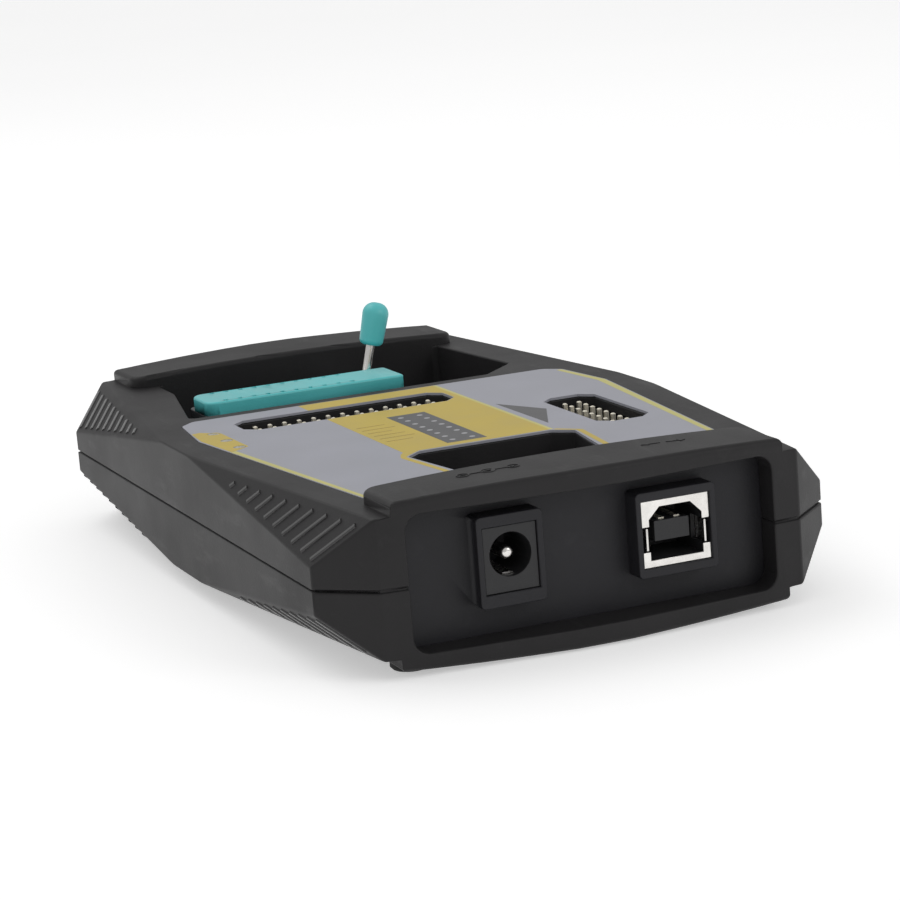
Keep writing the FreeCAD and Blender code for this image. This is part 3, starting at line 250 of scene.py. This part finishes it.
mats = {
    "case": moulded("case_black", (0.019, 0.0182, 0.019), (0.027, 0.0258, 0.0268), (0.42, 0.55), wear=0.1,
                    shine=0.25),
    # The ribs are the same black plastic as the case. Their lighter colour is a painted highlight along the
    # rib edges; the lower roughness and the coat give them real gloss.
    "rib": moulded("rib_black", (0.03, 0.029, 0.03), (0.045, 0.043, 0.044), (0.2, 0.3), wear=0.1, coat=0.6),
    "panel": moulded("panel_black", (0.017, 0.0167, 0.0195), (0.024, 0.0236, 0.0275), (0.4, 0.52), wear=0.06,
                     shine=0.3),
    "rubber": moulded("foot_rubber", (0.03, 0.03, 0.03), (0.05, 0.05, 0.05), (0.7, 0.85), 0.0003, 0.00002),
    "header": moulded("header_black", (0.012, 0.012, 0.013), (0.022, 0.022, 0.024), (0.4, 0.55), 0.00012),
    "socket": moulded("socket_dark", (0.03, 0.034, 0.036), (0.05, 0.055, 0.058), (0.35, 0.5), 0.00015),
    "teal": moulded("teal_plastic", (0.1, 0.6, 0.615), (0.13, 0.68, 0.7), (0.3, 0.42), 0.0002, 0.000005,
                    wear=0.12, coat=0.15),
    "epoxy": moulded("chip_epoxy", (0.014, 0.014, 0.015), (0.03, 0.03, 0.03), (0.5, 0.65), 0.0001),
    "ferrite": moulded("coil_ferrite", (0.06, 0.06, 0.065), (0.1, 0.1, 0.1), (0.6, 0.8), 0.0002),
    "ceramic": moulded("chip_ceramic", (0.36, 0.26, 0.17), (0.5, 0.38, 0.26), (0.35, 0.5), 0.0001),
    "led": moulded("light_lens", (0.6, 0.6, 0.52), (0.78, 0.78, 0.7), (0.2, 0.3), 0.0002, coat=0.5),
    "nickel": metal("nickel_plate", (0.42, 0.4, 0.38), (0.82, 0.8, 0.77), (0.14, 0.28)),
    "steel": metal("zinc_steel", (0.34, 0.34, 0.35), (0.62, 0.62, 0.64), (0.28, 0.42)),
    "tin": metal("tinned_lead", (0.5, 0.5, 0.52), (0.76, 0.76, 0.78), (0.25, 0.4)),
    "can": metal("can_aluminium", (0.55, 0.56, 0.58), (0.8, 0.81, 0.83), (0.25, 0.4), (1.0, 1.0, 0.2)),
    "gold": metal("gold_flash", (0.9, 0.76, 0.5), (1.0, 0.95, 0.82), (0.36, 0.5), tarnish=0.1),
    "plate": printed("plate_grey", (0.375, 0.38, 0.43), (0.425, 0.43, 0.485)),
    "ochre": printed("ink_ochre", (0.6, 0.445, 0.055), (0.67, 0.505, 0.08)),
    "brown": printed("ink_brown", (0.4, 0.26, 0.04), (0.46, 0.3, 0.06)),
    "pale": printed("ink_pale_yellow", (0.62, 0.57, 0.17), (0.68, 0.63, 0.22)),
    "slate": printed("ink_slate", (0.088, 0.088, 0.092), (0.115, 0.115, 0.12)),
    "dot": printed("ink_dot", (0.42, 0.42, 0.44), (0.5, 0.5, 0.52)),
    "green": laminate("board_green"),
    "clear": clearRod("light_rod_clear"),
}
print("materials made:", len(mats))

finish = {
    "case": ["upper_shell", "lower_shell"],
    "panel": ["near_panel", "far_panel"],
    "plate": ["top_plate"],
    "rubber": ["rubber_feet"],
    "steel": ["case_screws", "board_screws"],
    "green": ["main_board"],
    "header": ["wide_header_bases", "short_header_bases", "lever_socket_risers", "data_socket_insert",
               "power_socket_body", "cable_port_insert", "can_capacitor_bases"],
    "gold": ["wide_header_pins", "short_header_pins", "lever_socket_contacts", "data_socket_strips",
             "cable_port_sleeves"],
    "socket": ["lever_socket_base", "lever_socket_slider"],
    "teal": ["lever_socket_cover", "lever_knob"],
    "nickel": ["lever_rod", "data_socket_shell", "power_socket_pin", "power_socket_spring",
               "cable_port_shell", "cable_port_posts", "crystal"],
    "epoxy": ["processor", "logic_chips", "regulator"],
    "tin": ["processor_leads", "logic_leads", "chip_capacitor_caps"],
    "can": ["can_capacitors"],
    "ferrite": ["power_coil"],
    "ceramic": ["chip_capacitors"],
    "led": ["status_lights"],
    "clear": ["light_rods"],
}
for key, names in finish.items():
    for name in names:
        nodes[name].data.materials.clear()
        nodes[name].data.materials.append(mats[key])
bodyOf = {node: body for body, members in frame["record"]["behaviour"]["bodies"].items() for node in members}


# Softened copies of the moulded and stamped pieces

softRules = {"merge": 0.002, "flatAngle": 0.4, "turn": 22.0, "longTurn": 7.0, "longEdge": 15.0,
             "faceRoom": 2.1, "edgeRoom": 1.5, "passes": 3, "segments": 3, "smoothAngle": 40}
closedCase = {"halfWidth": 38.0, "halfLength": 61.5, "bottom": 5.2, "top": 21.6,
              "openAbove": 15.5, "pocketEnd": -29.5, "pocketHalfWidth": 14.5, "recessStart": 21.5}


def roomy(edge, chosen, width):
    # True where the faces and the other edges beside an edge leave space for a soft edge.
    length = edge.calc_length()
    for face in edge.link_faces:
        if face.calc_area() < softRules["faceRoom"] * width * length:
            return False
    for vert in edge.verts:
        for other in vert.link_edges:
            if other not in chosen and other.calc_length() < softRules["edgeRoom"] * width:
                return False
    return True


def hidden(name, edge):
    # True for the edges inside the closed case, which can't be seen.
    if name not in ("upper_shell", "lower_shell"):
        return False
    box = closedCase
    x, y, z = (edge.verts[0].co + edge.verts[1].co) / 2 / mm
    inside = abs(x) < box["halfWidth"] and abs(y) < box["halfLength"] and box["bottom"] < z < box["top"]
    inPocket = y < box["pocketEnd"] and abs(x) < box["pocketHalfWidth"]
    return inside and not (z > box["openAbove"] and (inPocket or y > box["recessStart"]))


def edgesToSoften(name, mesh, width):
    chosen = set()
    for edge in mesh.edges:
        if len(edge.link_faces) != 2 or not edge.is_convex or hidden(name, edge):
            continue
        turn = math.degrees(edge.calc_face_angle(0.0))
        isLong = edge.calc_length() > softRules["longEdge"] * mm
        if turn > softRules["turn"] or turn > softRules["longTurn"] and isLong:
            chosen.add(edge)
    total = len(chosen)
    for step in range(softRules["passes"]):
        chosen = {edge for edge in chosen if roomy(edge, chosen, width)}
    print("  soft edges", name, len(chosen), "of", total)
    return list(chosen)


def softened(name, width):
    copy = bpy.data.objects.new(name + "_soft", nodes[name].data.copy())
    scene.collection.objects.link(copy)
    mesh = bmesh.new()
    mesh.from_mesh(copy.data)
    bmesh.ops.remove_doubles(mesh, verts=mesh.verts, dist=softRules["merge"] * mm)
    if width:
        bmesh.ops.dissolve_limit(mesh, angle_limit=math.radians(softRules["flatAngle"]), verts=mesh.verts,
                                 edges=mesh.edges)
        bmesh.ops.bevel(mesh, geom=edgesToSoften(name, mesh, width * mm), offset=width * mm,
                        offset_type="OFFSET", segments=softRules["segments"], profile=0.5, affect="EDGES",
                        clamp_overlap=False)
    mesh.to_mesh(copy.data)
    mesh.free()
    for polygon in copy.data.polygons:
        polygon.use_smooth = True
    copy.data.set_sharp_from_angle(angle=math.radians(softRules["smoothAngle"]))
    weighted = copy.modifiers.new("weighted", "WEIGHTED_NORMAL")
    weighted.keep_sharp = True
    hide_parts(name)
    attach(copy, bodyOf[name])


softWidths = {  # in millimetres; 0 only smooths a piece that is round already
    "upper_shell": 0.32,
    "lower_shell": 0.32,
    "near_panel": 0.22,
    "far_panel": 0.15,
    "lever_socket_base": 0.2,
    "lever_socket_cover": 0,
    "lever_knob": 0,
    "lever_rod": 0,
    "rubber_feet": 0,
    "power_socket_pin": 0,
    "can_capacitors": 0,
    "light_rods": 0,
    "case_screws": 0,
    "data_socket_shell": 0.08,
    "data_socket_insert": 0.06,
    "power_socket_body": 0.12,
    "cable_port_shell": 0.1,
    "cable_port_posts": 0.15,
    "wide_header_bases": 0.1,
    "short_header_bases": 0.1,
}
for name, width in softWidths.items():
    softened(name, width)
print("softened copies:", len(softWidths))


# Flat printed shapes, from outlines with holes, in millimetres on the top plate

def dressed(name, mesh, key):
    mesh.materials.clear()
    mesh.materials.append(mats[key])
    piece = bpy.data.objects.new(name, mesh)
    scene.collection.objects.link(piece)
    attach(piece, "case")


def evaluatedMesh(source):
    bpy.context.view_layer.update()
    return bpy.data.meshes.new_from_object(source.evaluated_get(bpy.context.evaluated_depsgraph_get()))


def flatShape(name, outlines, low, high, key, seat=None):
    curve = bpy.data.curves.new(name, "CURVE")
    curve.dimensions = "2D"
    curve.fill_mode = "BOTH"
    curve.extrude = (high - low) / 2 * mm
    for outline in outlines:
        spline = curve.splines.new("POLY")
        spline.points.add(len(outline) - 1)
        for point, (x, y) in zip(spline.points, outline):
            point.co = (x * mm, y * mm, 0, 1)
        spline.use_cyclic_u = True
    source = bpy.data.objects.new(name + "_curve", curve)
    scene.collection.objects.link(source)
    mesh = evaluatedMesh(source)
    bpy.data.objects.remove(source)
    mesh.transform(Matrix.Translation((0, 0, (low + high) / 2 * mm)))
    if seat:
        mesh.transform(seat)
    dressed(name, mesh, key)


def ring(x, y, radius, count=32):
    step = 2 * math.pi / count
    return [(x + radius * math.cos(i * step), y + radius * math.sin(i * step)) for i in range(count)]


def rect(x0, x1, y0, y1):
    return [(x0, y0), (x1, y0), (x1, y1), (x0, y1)]


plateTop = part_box("top_plate")[1][2] / mm
ink = {"thickness": 0.012, "levels": [plateTop, plateTop + 0.015, plateTop + 0.03], "edge": 0.12}
window = {"x1": 9.91, "y0": 4.2, "y1": 13.4, "cut": 2.1}  # over the wide header
hole = {"x1": window["x1"] + ink["edge"], "y0": window["y0"] - ink["edge"], "y1": window["y1"] + ink["edge"]}
field = {"left": -13.4, "upperLeft": -13.2, "right": 11.1, "edge": 11.7, "far": 18.5, "near": -29.5}
rows = {"start": -12.4, "thick": 0.28, "ends": [(-7.6, -7.0), (-6.9, -9.6), (-8.3, -12.2), (-7.2, -14.8),
                                                (-6.6, -17.4), (-7.9, -20.0)]}
prints = [
    {"name": "print_main_field", "key": "ochre", "level": 0, "outlines": [[
        (field["left"], hole["y0"]), (hole["x1"] - window["cut"], hole["y0"]),
        (hole["x1"], window["y0"] + window["cut"]), (hole["x1"], window["y1"] - window["cut"]),
        (hole["x1"] - window["cut"], hole["y1"]), (field["upperLeft"], hole["y1"]),
        (field["upperLeft"], field["far"]), (field["right"], field["far"]), (field["right"], field["near"]),
        (-10.8, field["near"]), (field["left"], -31.8)]]},
    {"name": "print_field_edge", "key": "pale", "level": 0, "outlines": [
        [(field["right"], field["far"]), (field["edge"], field["far"]), (field["edge"], -29.6),
         (field["right"], field["near"])]]},
    {"name": "print_pocket_edge_left", "key": "ochre", "level": 0, "outlines": [
        [(field["left"], -31.75), (-14.2, -32.7), (-12.2, -50.3), (-13.1, -50.3), (-15.15, -32.9),
         (-14.3, -30.6), (field["left"], -29.4)]]},
    {"name": "print_pocket_edge_right", "key": "ochre", "level": 0, "outlines": [
        [(field["edge"], -30.15), (14.2, -32.7), (12.2, -50.3), (13.1, -50.3), (15.15, -32.9), (12.2, -29.6),
         (field["edge"], -29.6)]]},
    {"name": "print_lights_patch", "key": "ochre", "level": 0, "outlines": [
        [(-35.0, 8.6), (-33.6, 8.9), (-30.9, 5.8), (-30.7, -7.2), (-33.4, -9.2), (-34.3, -9.6),
         (-35.55, 1.8)],
        ring(-32.0, 6.3, 1.0), ring(-32.0, -0.3, 1.0), ring(-32.0, -6.7, 1.0)]},
    {"name": "print_side_line_left", "key": "pale", "level": 0, "outlines": [
        [(-34.45, -9.8), (-33.5, -9.4), (-28.45, -55.0), (-29.2, -55.0)]]},
    {"name": "print_side_line_right", "key": "pale", "level": 0, "outlines": [
        [(34.0, 15.8), (35.7, 2.0), (29.2, -55.0), (28.3, -55.0), (34.45, 2.0), (33.1, 15.8)]]},
    {"name": "print_table", "key": "slate", "level": 1, "outlines": [rect(-5.3, 1.3, -27.6, -1.8)]},
    {"name": "print_rows", "key": "brown", "level": 1, "outlines": [
        rect(rows["start"], end, y, y + rows["thick"]) for end, y in rows["ends"]]},
    {"name": "print_pointer", "key": "slate", "level": 0, "outlines": [
        [(12.9, -4.3), (17.6, -14.0), (13.1, -24.6)]]},
]
for item in prints:
    low = ink["levels"][item["level"]]
    flatShape(item["name"], item["outlines"], low, low + ink["thickness"], item["key"])
print("printed fields:", len(prints))


# Plain raised signs on the near bar: a polarity sign over the power socket, arrows over the data socket

nearBar = {"top": 26.25, "drop": 0.85, "halfWidth": 30.7, "signY": -61.0, "signLow": -0.08, "signHigh": 0.07}


def sector(x, y, outer, inner, start, sweep, count=28):
    turns = [math.radians(start + sweep * i / count) for i in range(count + 1)]
    far = [(x + outer * math.cos(t), y + outer * math.sin(t)) for t in turns]
    near = [(x + inner * math.cos(t), y + inner * math.sin(t)) for t in reversed(turns)]
    return far + near


def plusSign(x, arm, half):
    quarter = [(x - arm, -half), (x - half, -half), (x - half, -arm), (x + half, -arm), (x + half, -half),
               (x + arm, -half)]
    return quarter + [(px, -py) for px, py in reversed(quarter)]


signs = {
    "sign_power": {"x": -12.8, "outlines": [
        ring(-3.9, 0, 1.0), ring(-3.9, 0, 0.78), rect(-4.3, -3.5, -0.1, 0.1), rect(-2.9, -0.45, -0.1, 0.1),
        ring(0, 0, 0.45, 20), sector(0, 0, 1.15, 0.93, 40, 280), rect(1.15, 2.9, -0.1, 0.1),
        ring(3.9, 0, 1.0), ring(3.9, 0, 0.78), plusSign(3.9, 0.4, 0.1)]},
    "sign_data": {"x": 15.0, "outlines": [
        [(-3.6, 0), (-2.5, 0.65), (-2.5, 0.12), (-0.5, 0.12), (-0.5, -0.12), (-2.5, -0.12), (-2.5, -0.65)],
        [(3.6, 0), (2.5, -0.65), (2.5, -0.12), (0.5, -0.12), (0.5, 0.12), (2.5, 0.12), (2.5, 0.65)]]},
}
for name, sign in signs.items():
    lean = math.atan(2 * nearBar["drop"] * sign["x"] / nearBar["halfWidth"] ** 2)
    height = nearBar["top"] - nearBar["drop"] * (sign["x"] / nearBar["halfWidth"]) ** 2
    spot = Vector((sign["x"], nearBar["signY"], height)) * mm
    seat = Matrix.Translation(spot) @ Matrix.Rotation(lean, 4, "Y")
    flatShape(name, sign["outlines"], nearBar["signLow"], nearBar["signHigh"], "case", seat)
print("signs made:", len(signs))


# Repeats, made with geometry nodes

class RepeatTree(Graph):
    def __init__(self, name, inputs):
        super().__init__(bpy.data.node_groups.new(name, "GeometryNodeTree"))
        for label, (kind, default) in inputs.items():
            socket = self.tree.interface.new_socket(label, in_out="INPUT", socket_type="NodeSocket" + kind)
            socket.default_value = default
        self.tree.interface.new_socket("Geometry", in_out="OUTPUT", socket_type="NodeSocketGeometry")

    def given(self, label):
        return self.node("NodeGroupInput", output=label)

    def end(self, copies, key):
        real = self.node("GeometryNodeRealizeInstances", {"Geometry": copies})
        painted = self.node("GeometryNodeSetMaterial", {"Geometry": real, "Material": mats[key]})
        self.node("NodeGroupOutput", {"Geometry": painted})


def bakedTree(name, repeat, key, values):
    # Runs the tree on an empty object, keeps the mesh that it makes, and drops the modifier.
    source = bpy.data.objects.new(name + "_source", bpy.data.meshes.new(name + "_source"))
    scene.collection.objects.link(source)
    modifier = source.modifiers.new("repeat", "NODES")
    modifier.node_group = repeat.tree
    for item in repeat.tree.interface.items_tree:
        if item.in_out == "INPUT" and item.name in values:
            modifier[item.identifier] = values[item.name]
    mesh = evaluatedMesh(source)
    source.modifiers.clear()
    bpy.data.objects.remove(source)
    dressed(name, mesh, key)


ribShape = {"profile": [(0.46, -0.1), (0.4, 0.14), (0.24, 0.26), (-0.24, 0.26), (-0.4, 0.14), (-0.46, -0.1)],
            "count": 10, "first": 0.341, "last": 0.967, "margin": 3.2, "shift": 0.5}


def ribUnitShape():
    # A flat-topped rib of unit length, for scaling along X.
    unitMesh = bpy.data.meshes.new("rib_unit")
    shape = bmesh.new()
    for end in (-0.5, 0.5):
        for across, height in ribShape["profile"]:
            shape.verts.new((end, across * mm, height * mm))
    shape.verts.ensure_lookup_table()
    count = len(ribShape["profile"])
    for i in range(count):
        after = (i + 1) % count
        shape.faces.new([shape.verts[j] for j in (i, after, count + after, count + i)])
    shape.faces.new([shape.verts[i] for i in range(count)])
    shape.faces.new([shape.verts[count + i] for i in reversed(range(count))])
    bmesh.ops.recalc_face_normals(shape, faces=shape.faces)
    shape.to_mesh(unitMesh)
    shape.free()
    unitMesh.materials.append(mats["rib"])
    unit = bpy.data.objects.new("rib_unit", unitMesh)
    scene.collection.objects.link(unit)
    return unit


def ribTree(unit):
    repeat = RepeatTree("facet_ribs", {
        "Count": ("Int", ribShape["count"]),
        "First": ("Float", ribShape["first"]),
        "Last": ("Float", ribShape["last"]),
        "Tip": ("Vector", (0, 0, 0)),
        "Middle": ("Vector", (0, 0, 0)),
        "Shift": ("Vector", (0, 0, 0)),
        "Length": ("Float", 12.0 * mm),
        "Margin": ("Float", ribShape["margin"] * mm),
        "Turn": ("Vector", (0, 0, 0)),
    })
    given = repeat.given
    line = repeat.node("GeometryNodeMeshLine", {"Count": given("Count")})
    index = repeat.node("GeometryNodeInputIndex")
    share = (index / (given("Count") - 1)).spread(given("First"), given("Last"))
    place = repeat.node("ShaderNodeMix", {0: share, 4: given("Tip"), 5: given("Middle")}, 1,
                        data_type="VECTOR")
    moved = repeat.node("GeometryNodeSetPosition", {"Geometry": line, "Position": place,
                                                    "Offset": given("Shift")})
    length = share * given("Length") - given("Margin")
    size = repeat.node("ShaderNodeCombineXYZ", {"X": length, "Y": 1.0, "Z": 1.0})
    info = repeat.node("GeometryNodeObjectInfo", {"Object": unit, "As Instance": True}, "Geometry")
    copies = repeat.node("GeometryNodeInstanceOnPoints", {"Points": moved, "Instance": info,
                                                          "Rotation": given("Turn"), "Scale": size})
    repeat.end(copies, "rib")
    return repeat


def facetTurn(along, normal):
    x = along.normalized()
    z = normal.normalized()
    return Matrix((x, z.cross(x), z)).transposed().to_euler()


facet = {"endX": 33.1, "endY": 67.85, "sideX": 40.6, "sideY": 61.05, "tipY": 6.15,
         "upper": {"face": 23.5, "belt": 16.5}, "lower": {"face": 3.0, "belt": 9.5}}
ribUnit = ribUnitShape()
ribs = ribTree(ribUnit)
for level in ("upper", "lower"):
    faceZ, beltZ = facet[level]["face"], facet[level]["belt"]
    for sideName, side in (("left", -1), ("right", 1)):
        for endName, end in (("near", -1), ("far", 1)):
            corner = Vector((side * facet["endX"], end * facet["endY"], faceZ)) * mm
            belt = Vector((side * facet["sideX"], end * facet["sideY"], beltZ)) * mm
            tip = Vector((side * facet["sideX"], end * facet["tipY"], faceZ)) * mm
            along = belt - corner
            normal = along.cross(tip - corner)
            if normal.x * side < 0:
                normal.negate()
            shift = along.normalized() * ribShape["shift"] * mm
            bakedTree("ribs_" + level + "_" + sideName + "_" + endName, ribs, "rib", {
                "Tip": tip, "Middle": (corner + belt) / 2, "Shift": shift, "Length": along.length,
                "Turn": Vector(facetTurn(along, normal))})
bpy.data.objects.remove(ribUnit)
print("facet ribs made: 8 sets")

tableDots = {"place": Vector((-2.0, -14.8, ink["levels"][2])) * mm, "sides": 20}


def dotTree():
    repeat = RepeatTree("printed_dots", {
        "Columns": ("Int", 2),
        "Rows": ("Int", 8),
        "Width": ("Float", 3.3 * mm),
        "Height": ("Float", 21.7 * mm),
        "Radius": ("Float", 0.48 * mm),
        "Thickness": ("Float", 0.01 * mm),
        "Place": ("Vector", (0, 0, 0)),
    })
    given = repeat.given
    grid = repeat.node("GeometryNodeMeshGrid", {
        "Size X": given("Width"), "Size Y": given("Height"), "Vertices X": given("Columns"),
        "Vertices Y": given("Rows")})
    moved = repeat.node("GeometryNodeSetPosition", {"Geometry": grid, "Offset": given("Place")})
    disc = repeat.node("GeometryNodeMeshCylinder", {
        "Vertices": tableDots["sides"], "Radius": given("Radius"), "Depth": given("Thickness")})
    repeat.end(repeat.node("GeometryNodeInstanceOnPoints", {"Points": moved, "Instance": disc}), "dot")
    return repeat


bakedTree("print_table_dots", dotTree(), "dot", {"Place": tableDots["place"]})
print("table dots made")


# Stage, lights and camera

floorLook = {"half": 6.0, "dark": (0.84, 0.84, 0.84), "light": (0.88, 0.88, 0.88), "rough": (0.6, 0.7),
             "tone": (0.3, 2.0, 0.5), "seenWhite": (0.44, 0.44, 0.44)}


def floorMaterial():
    paint = Paint("floor_pale")
    tone = paint.noise(*floorLook["tone"])
    seen = sum(paint.node("ShaderNodeLightPath", output=ray)
               for ray in ("Is Camera Ray", "Is Glossy Ray", "Is Transmission Ray"))
    paint.shade(Base_Color=paint.blend(tone, floorLook["dark"], floorLook["light"]),
                Roughness=tone.spread(*floorLook["rough"]), Emission_Strength=1.0,
                Emission_Color=paint.blend(seen.clamped(), (0.0, 0.0, 0.0), floorLook["seenWhite"]))
    return paint.material


floorMesh = bpy.data.meshes.new("floor")
half = floorLook["half"]
floorMesh.from_pydata([(x, y, 0) for x, y in rect(-half, half, -half, half)], [], [(0, 1, 2, 3)])
floor = bpy.data.objects.new("floor", floorMesh)
scene.collection.objects.link(floor)
floor.data.materials.append(floorMaterial())

skyStrength = 0.54
world = bpy.data.worlds.new("studio")
scene.world = world
world.use_nodes = True
background = world.node_tree.nodes["Background"]
background.inputs["Color"].default_value = (1.0, 1.0, 1.0, 1.0)
background.inputs["Strength"].default_value = skyStrength

lamps = {
    "key": {"place": (-0.3, 0.4, 0.8), "target": (0, 0, 0.01), "size": (0.8, 0.6), "power": 1.75},
    "front": {"place": (0.5, -0.8, 0.5), "target": (0, -0.03, 0.01), "size": (0.5, 0.3), "power": 1.15},
}
for name, lamp in lamps.items():
    data = bpy.data.lights.new(name, "AREA")
    data.shape = "RECTANGLE"
    data.size, data.size_y = lamp["size"]
    data.energy = lamp["power"]
    light = bpy.data.objects.new(name, data)
    light.location = lamp["place"]
    light.rotation_euler = (Vector(lamp["target"]) - light.location).to_track_quat("-Z", "Y").to_euler()
    scene.collection.objects.link(light)

# The camera follows the photograph's viewpoint. Its axes come from an azimuth, elevation and roll.
photo = {"azimuth": -21.73, "elevation": 11.82, "roll": -4.48, "distance": 0.46668, "focal": 2900.98,
         "aimX": 434.93, "aimY": 470.6, "aim": (0.0, -0.00785, 0.015), "frame": 900.0, "sensor": 36.0,
         "clip": 0.01}


def placeCamera(view):
    az, el, roll = (math.radians(view[k]) for k in ("azimuth", "elevation", "roll"))
    back = Vector((math.sin(az) * math.cos(el), -math.cos(az) * math.cos(el), math.sin(el)))
    right = (-back).cross(Vector((0, 0, 1))).normalized()
    upward = right.cross(-back)
    rightRolled = right * math.cos(roll) + upward * math.sin(roll)
    upRolled = upward * math.cos(roll) - right * math.sin(roll)
    middle = view["frame"] / 2
    scale = view["distance"] / view["focal"]
    spot = Vector(view["aim"]) + back * view["distance"]
    spot = spot - rightRolled * (view["aimX"] - middle) * scale + upRolled * (view["aimY"] - middle) * scale
    data = bpy.data.cameras.new("camera")
    data.sensor_width = view["sensor"]
    data.lens = view["focal"] / view["frame"] * data.sensor_width
    data.clip_start = view["clip"]
    camera = bpy.data.objects.new("camera", data)
    turn = Matrix((rightRolled, upRolled, back)).transposed().to_4x4()
    camera.matrix_world = Matrix.Translation(spot) @ turn
    scene.collection.objects.link(camera)
    scene.camera = camera


placeCamera(photo)
scene.view_settings.view_transform = "Standard"
print("stage set")
